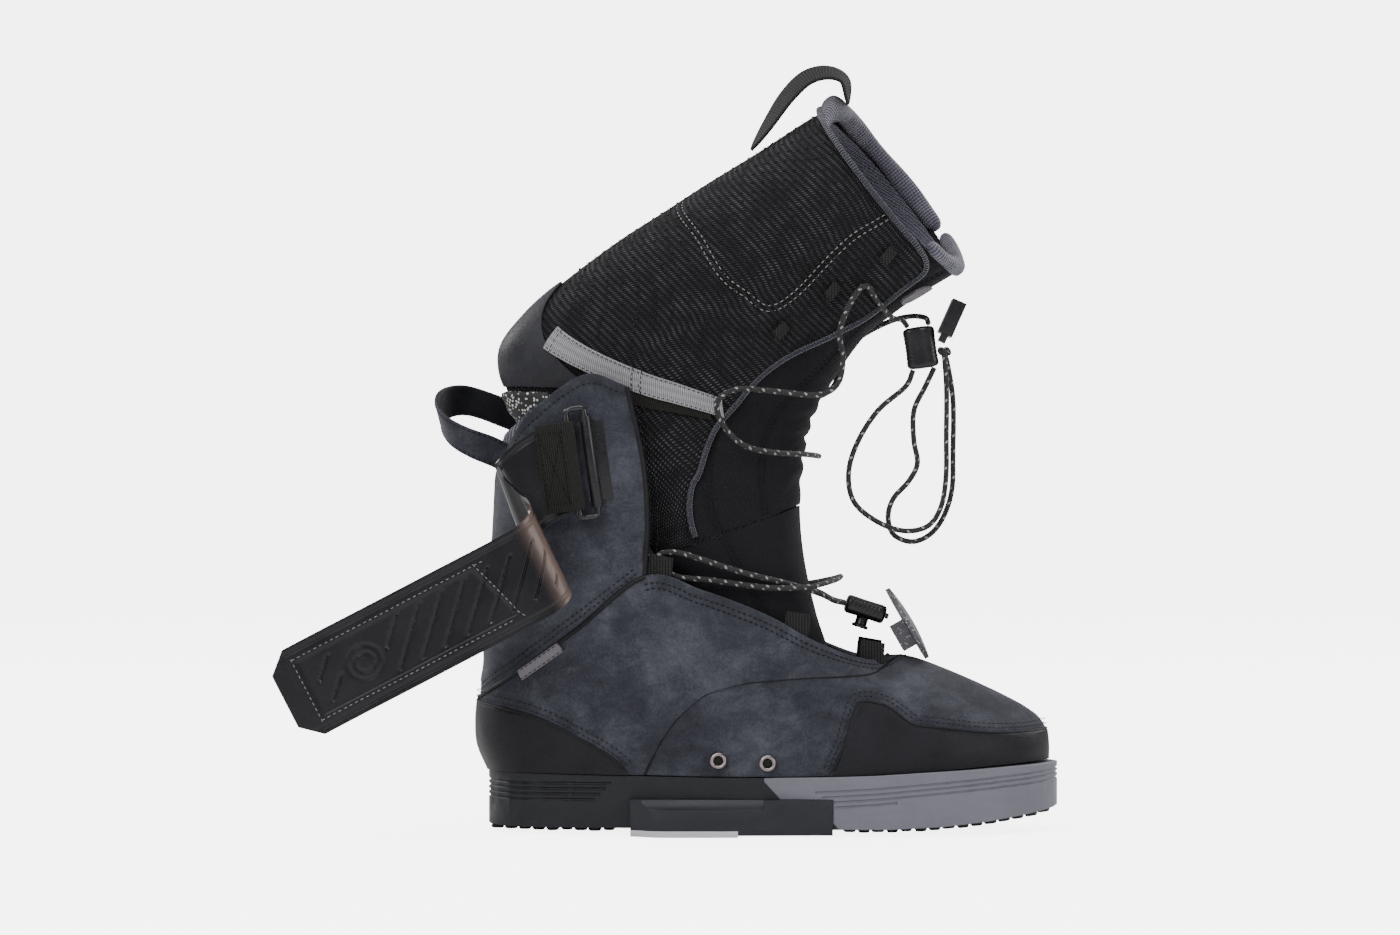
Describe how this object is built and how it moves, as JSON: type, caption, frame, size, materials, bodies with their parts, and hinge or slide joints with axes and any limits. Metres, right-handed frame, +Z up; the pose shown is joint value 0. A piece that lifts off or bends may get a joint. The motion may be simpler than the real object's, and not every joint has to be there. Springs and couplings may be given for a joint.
{
  "type": "boardsport binding boot with removable liner",
  "caption": "Lace-up board boot with a flat chassis sole, a swinging ankle strap and a removable padded liner drawn half out.",
  "frame": {"origin": "centre of the binding chassis, on the underside of its base pad", "axes": "+X towards the toe, +Y towards the inner side of the foot, +Z up"},
  "size_m": [0.4272, 0.1592, 0.4169],
  "materials": {
    "black_rubber": "matte moulded rubber",
    "grey_foam": "satin moulded foam rubber",
    "black_plastic": "satin glass-filled plastic",
    "pale_plastic": "matte",
    "steel": "zinc plated",
    "board": "pressed fibre board",
    "suede": "brushed clouded nubuck",
    "rand": "smooth matte coated leather",
    "fleece": "ribbed fleece",
    "gunmetal": "satin gunmetal",
    "label": "woven label",
    "webbing": "woven",
    "lace": "braided round lace with pale flecks",
    "lock_plastic": "semi-gloss",
    "speckled_plastic": "speckled matte",
    "black_steel": "gloss black",
    "strap_plastic": "semi-gloss flexible plastic",
    "liner_knit": "stretch twill",
    "liner_mesh": "embossed perforated mesh",
    "liner_sole": "speckled",
    "grey_webbing": "ribbed webbing"
  },
  "bodies": {
    "shell": {"outsole_rear": "black_rubber", "outsole_front": "grey_foam", "chassis": "black_plastic", "chassis_base_pad": "pale_plastic", "chassis_screws": "steel", "insole_board": "board", "quarter_near": "suede", "quarter_far": "suede", "vamp": "suede", "toe_cap": "rand", "heel_counter": "rand", "cuff_near": "suede", "cuff_far": "suede", "collar_lining": "fleece", "drain_eyelets": "gunmetal", "side_label": "label", "heel_pull_loop": "suede", "ring_sleeve": "black_plastic", "lower_lace_guides": "webbing", "lower_lace": "lace", "lower_lock_body": "lock_plastic", "lower_lock_spring": "steel", "lower_handle_cord": "lace"},
    "lower_button": {"lower_lock_button": "lock_plastic"},
    "lower_handle": {"lower_pull_handle": "speckled_plastic"},
    "ring": {"strap_ring": "black_steel"},
    "strap": {"strap_webbing": "webbing", "strap_cover": "strap_plastic", "strap_backing": "webbing"},
    "liner": {"liner_forefoot": "liner_knit", "liner_body": "liner_mesh", "liner_tongue": "liner_knit", "liner_heel_panel": "rand", "liner_outsole": "liner_sole", "liner_collar": "fleece", "liner_band": "grey_webbing", "liner_pull_loop": "webbing", "liner_lace_guides": "webbing", "upper_lace": "lace", "upper_lock_body": "lock_plastic", "upper_lock_spring": "steel", "upper_cord_loop_outer": "lace", "upper_cord_loop_inner": "lace"},
    "upper_button": {"upper_lock_button": "lock_plastic"},
    "upper_handle": {"upper_pull_handle": "lock_plastic"}
  },
  "joints": [
    {"name": "liner_pull", "type": "slide", "parent": "shell", "child": "liner", "axis": [-0.42, 0, 0.9075], "range_m": [0, 0.24]},
    {"name": "ring_swing", "type": "hinge", "parent": "shell", "child": "ring", "pos_m": [-0.0738, -0.0571, 0.202], "axis": [-0.1392, 0, 0.9903], "range_deg": [0, 70]},
    {"name": "strap_swing", "type": "hinge", "parent": "ring", "child": "strap", "pos_m": [-0.0837, -0.0571, 0.20061], "axis": [-0.1392, 0, 0.9903], "range_deg": [0, 60]},
    {"name": "lower_lock_press", "type": "slide", "parent": "shell", "child": "lower_button", "axis": [0.309, 0, 0.9511], "range_m": [0, 0.003], "stiffness_N_per_m": 400, "springref_m": -0.002, "deforming": ["lower_lock_spring"]},
    {"name": "lower_handle_tilt", "type": "hinge", "parent": "shell", "child": "lower_handle", "pos_m": [0.089, 0, 0.113], "axis": [0, 1, 0], "range_deg": [-25, 0]},
    {"name": "upper_lock_press", "type": "slide", "parent": "liner", "child": "upper_button", "axis": [0, -1, 0], "range_m": [0, 0.003], "stiffness_N_per_m": 400, "springref_m": -0.002, "deforming": ["upper_lock_spring"]},
    {"name": "upper_handle_tilt", "type": "hinge", "parent": "liner", "child": "upper_handle", "pos_m": [0.1167, -0.01, 0.2674], "axis": [0, 1, 0], "range_deg": [-10, 50]}
  ]
}
